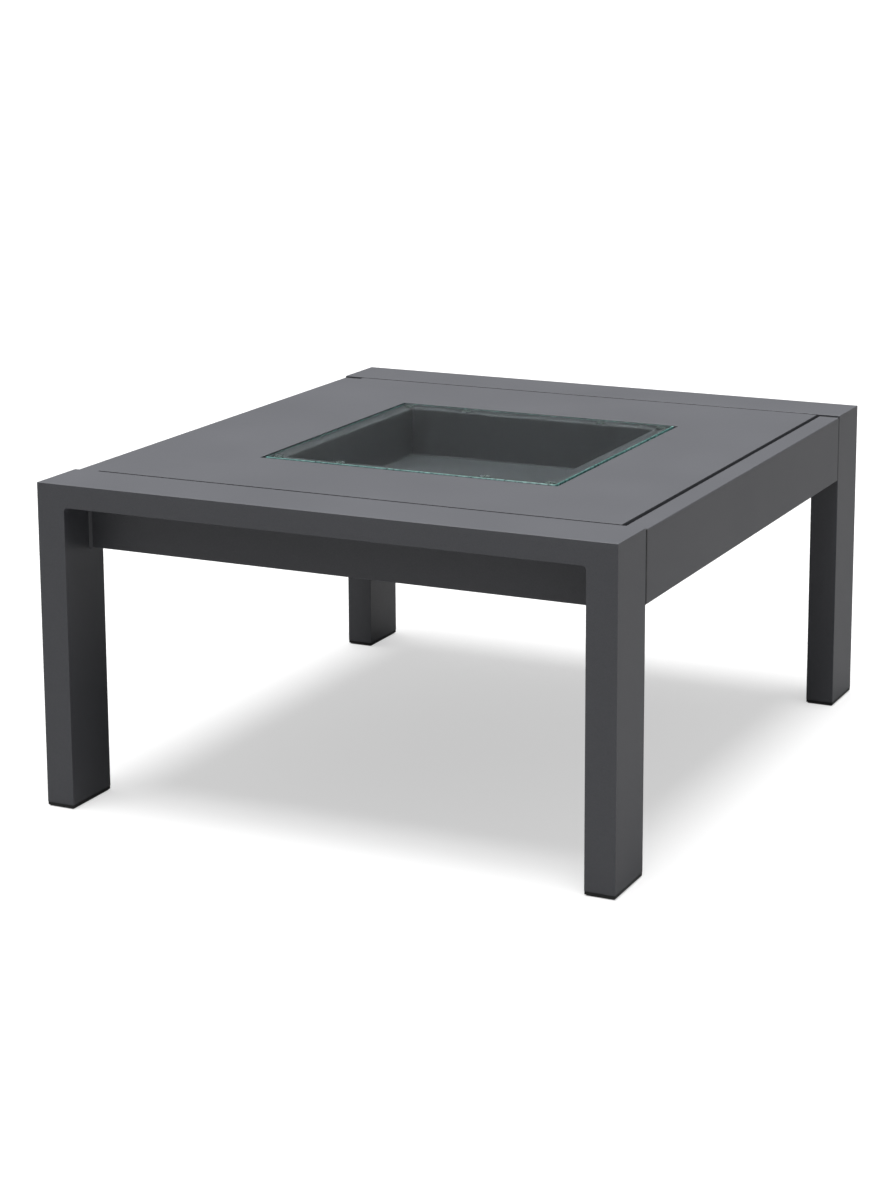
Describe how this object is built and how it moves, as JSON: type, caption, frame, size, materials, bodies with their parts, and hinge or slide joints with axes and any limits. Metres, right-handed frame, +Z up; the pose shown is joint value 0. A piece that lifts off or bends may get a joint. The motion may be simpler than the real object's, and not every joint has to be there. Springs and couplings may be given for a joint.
{
  "type": "outdoor coffee table with a glass-covered well",
  "caption": "Low garden table with two inverted-U end frames, side rails, a flat sheet top and a shallow square well under a lift-out glass lid.",
  "frame": {"origin": "on the ground, under the middle of the table", "axes": "+X to the table's right seen from the front, +Y from the front end frame to the rear one, +Z up"},
  "size_m": [0.76, 0.89, 0.4125],
  "materials": {
    "frame_powder_coat": "fine textured graphite powder coat",
    "side_rail_powder_coat": "fine textured graphite powder coat",
    "panel_powder_coat": "fine textured graphite powder coat",
    "well_powder_coat": "fine textured graphite powder coat",
    "bar_powder_coat": "graphite powder coat",
    "zinc_plate": "zinc plated",
    "zinc_fixings": "zinc plated",
    "clear_glass": "polished, toughened, ground edges",
    "clear_silicone": "translucent",
    "black_plastic": "fine matt moulding"
  },
  "bodies": {
    "table": {"front_left_leg": "frame_powder_coat", "front_right_leg": "frame_powder_coat", "rear_left_leg": "frame_powder_coat", "rear_right_leg": "frame_powder_coat", "front_top_rail": "frame_powder_coat", "rear_top_rail": "frame_powder_coat", "front_apron": "frame_powder_coat", "rear_apron": "frame_powder_coat", "front_welds": "frame_powder_coat", "rear_welds": "frame_powder_coat", "left_side_rail": "side_rail_powder_coat", "right_side_rail": "side_rail_powder_coat", "side_rail_end_caps": "black_plastic", "left_corner_brackets": "zinc_plate", "right_corner_brackets": "zinc_plate", "bracket_screws": "zinc_fixings", "rivet_nuts": "zinc_fixings", "front_cross_bar": "bar_powder_coat", "rear_cross_bar": "bar_powder_coat", "cross_bar_clips": "zinc_plate", "clip_screws": "zinc_fixings", "top_panel": "panel_powder_coat", "panel_nuts": "zinc_fixings", "well": "well_powder_coat", "well_nuts": "zinc_fixings", "glass_bumpers": "clear_silicone", "front_left_foot": "black_plastic", "front_right_foot": "black_plastic", "rear_left_foot": "black_plastic", "rear_right_foot": "black_plastic"},
    "lid": {"glass_lid": "clear_glass"}
  },
  "joints": [
    {"name": "glass_lid_lift", "type": "slide", "parent": "table", "child": "lid", "axis": [0, 0, 1], "range_m": [0, 0.25]}
  ]
}
